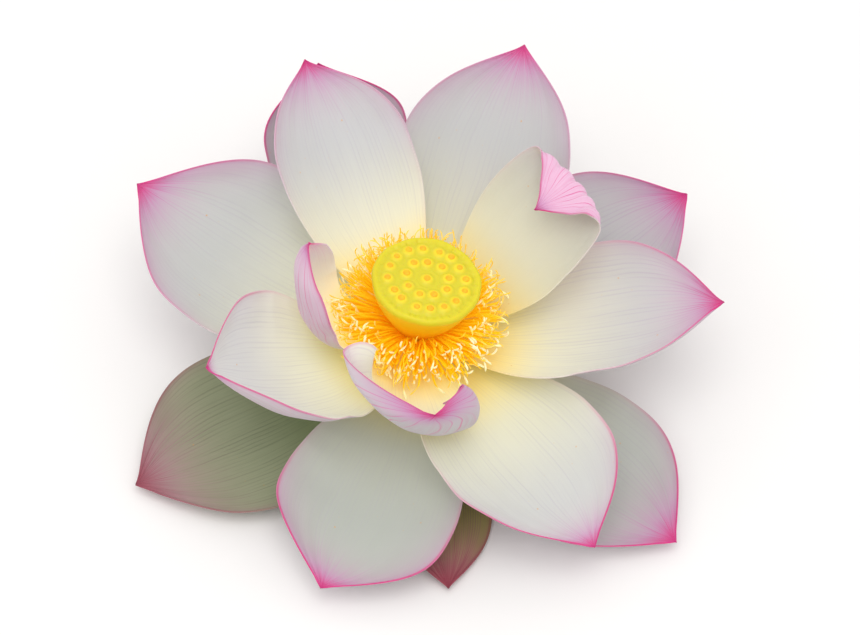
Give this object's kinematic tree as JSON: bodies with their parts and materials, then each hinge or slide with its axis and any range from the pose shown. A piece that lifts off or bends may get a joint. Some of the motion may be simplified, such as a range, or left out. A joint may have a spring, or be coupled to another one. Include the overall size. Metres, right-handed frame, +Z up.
{
  "type": "lotus flower",
  "caption": "Open lotus blossom picked with a short stub of stalk: spread, cupped petals round a ring of stamens and a flat-topped seed head, lying face up on its outer petals.",
  "frame": {"origin": "middle of the blossom's footprint, on the surface that it rests on", "axes": "+Z up, out of the open face of the flower; +Y towards the longest petal, at the back; +X to the right, the way the seed head leans"},
  "size_m": [0.1953, 0.1976, 0.0715],
  "materials": {
    "petal_white": "matt, thin and slightly see-through petal, white with cream foot and pink tip and margins",
    "sepal_green": "matt outermost petal, green flushed with dull red and pink",
    "seed_head_yellow": "smooth waxy plant tissue, golden yellow with a greenish face",
    "stamen_gold": "matt orange filaments with cream club tips",
    "stalk_green": "satin green stalk with a pale cut end"
  },
  "bodies": {
    "root": {"petal_inner_back": "petal_white", "petal_inner_right": "petal_white", "petal_inner_left": "petal_white", "petal_inner_front": "petal_white", "petal_middle_back": "petal_white", "petal_middle_left": "petal_white", "petal_middle_front_left": "petal_white", "petal_middle_front_right": "petal_white", "petal_middle_right": "petal_white", "petal_outer_back": "petal_white", "petal_outer_right": "petal_white", "petal_outer_front_right": "petal_white", "petal_outer_front_left": "petal_white", "sepal_front": "sepal_green", "sepal_left": "sepal_green", "seed_head": "seed_head_yellow", "stamens": "stamen_gold", "stalk": "stalk_green"}
  },
  "joints": []
}
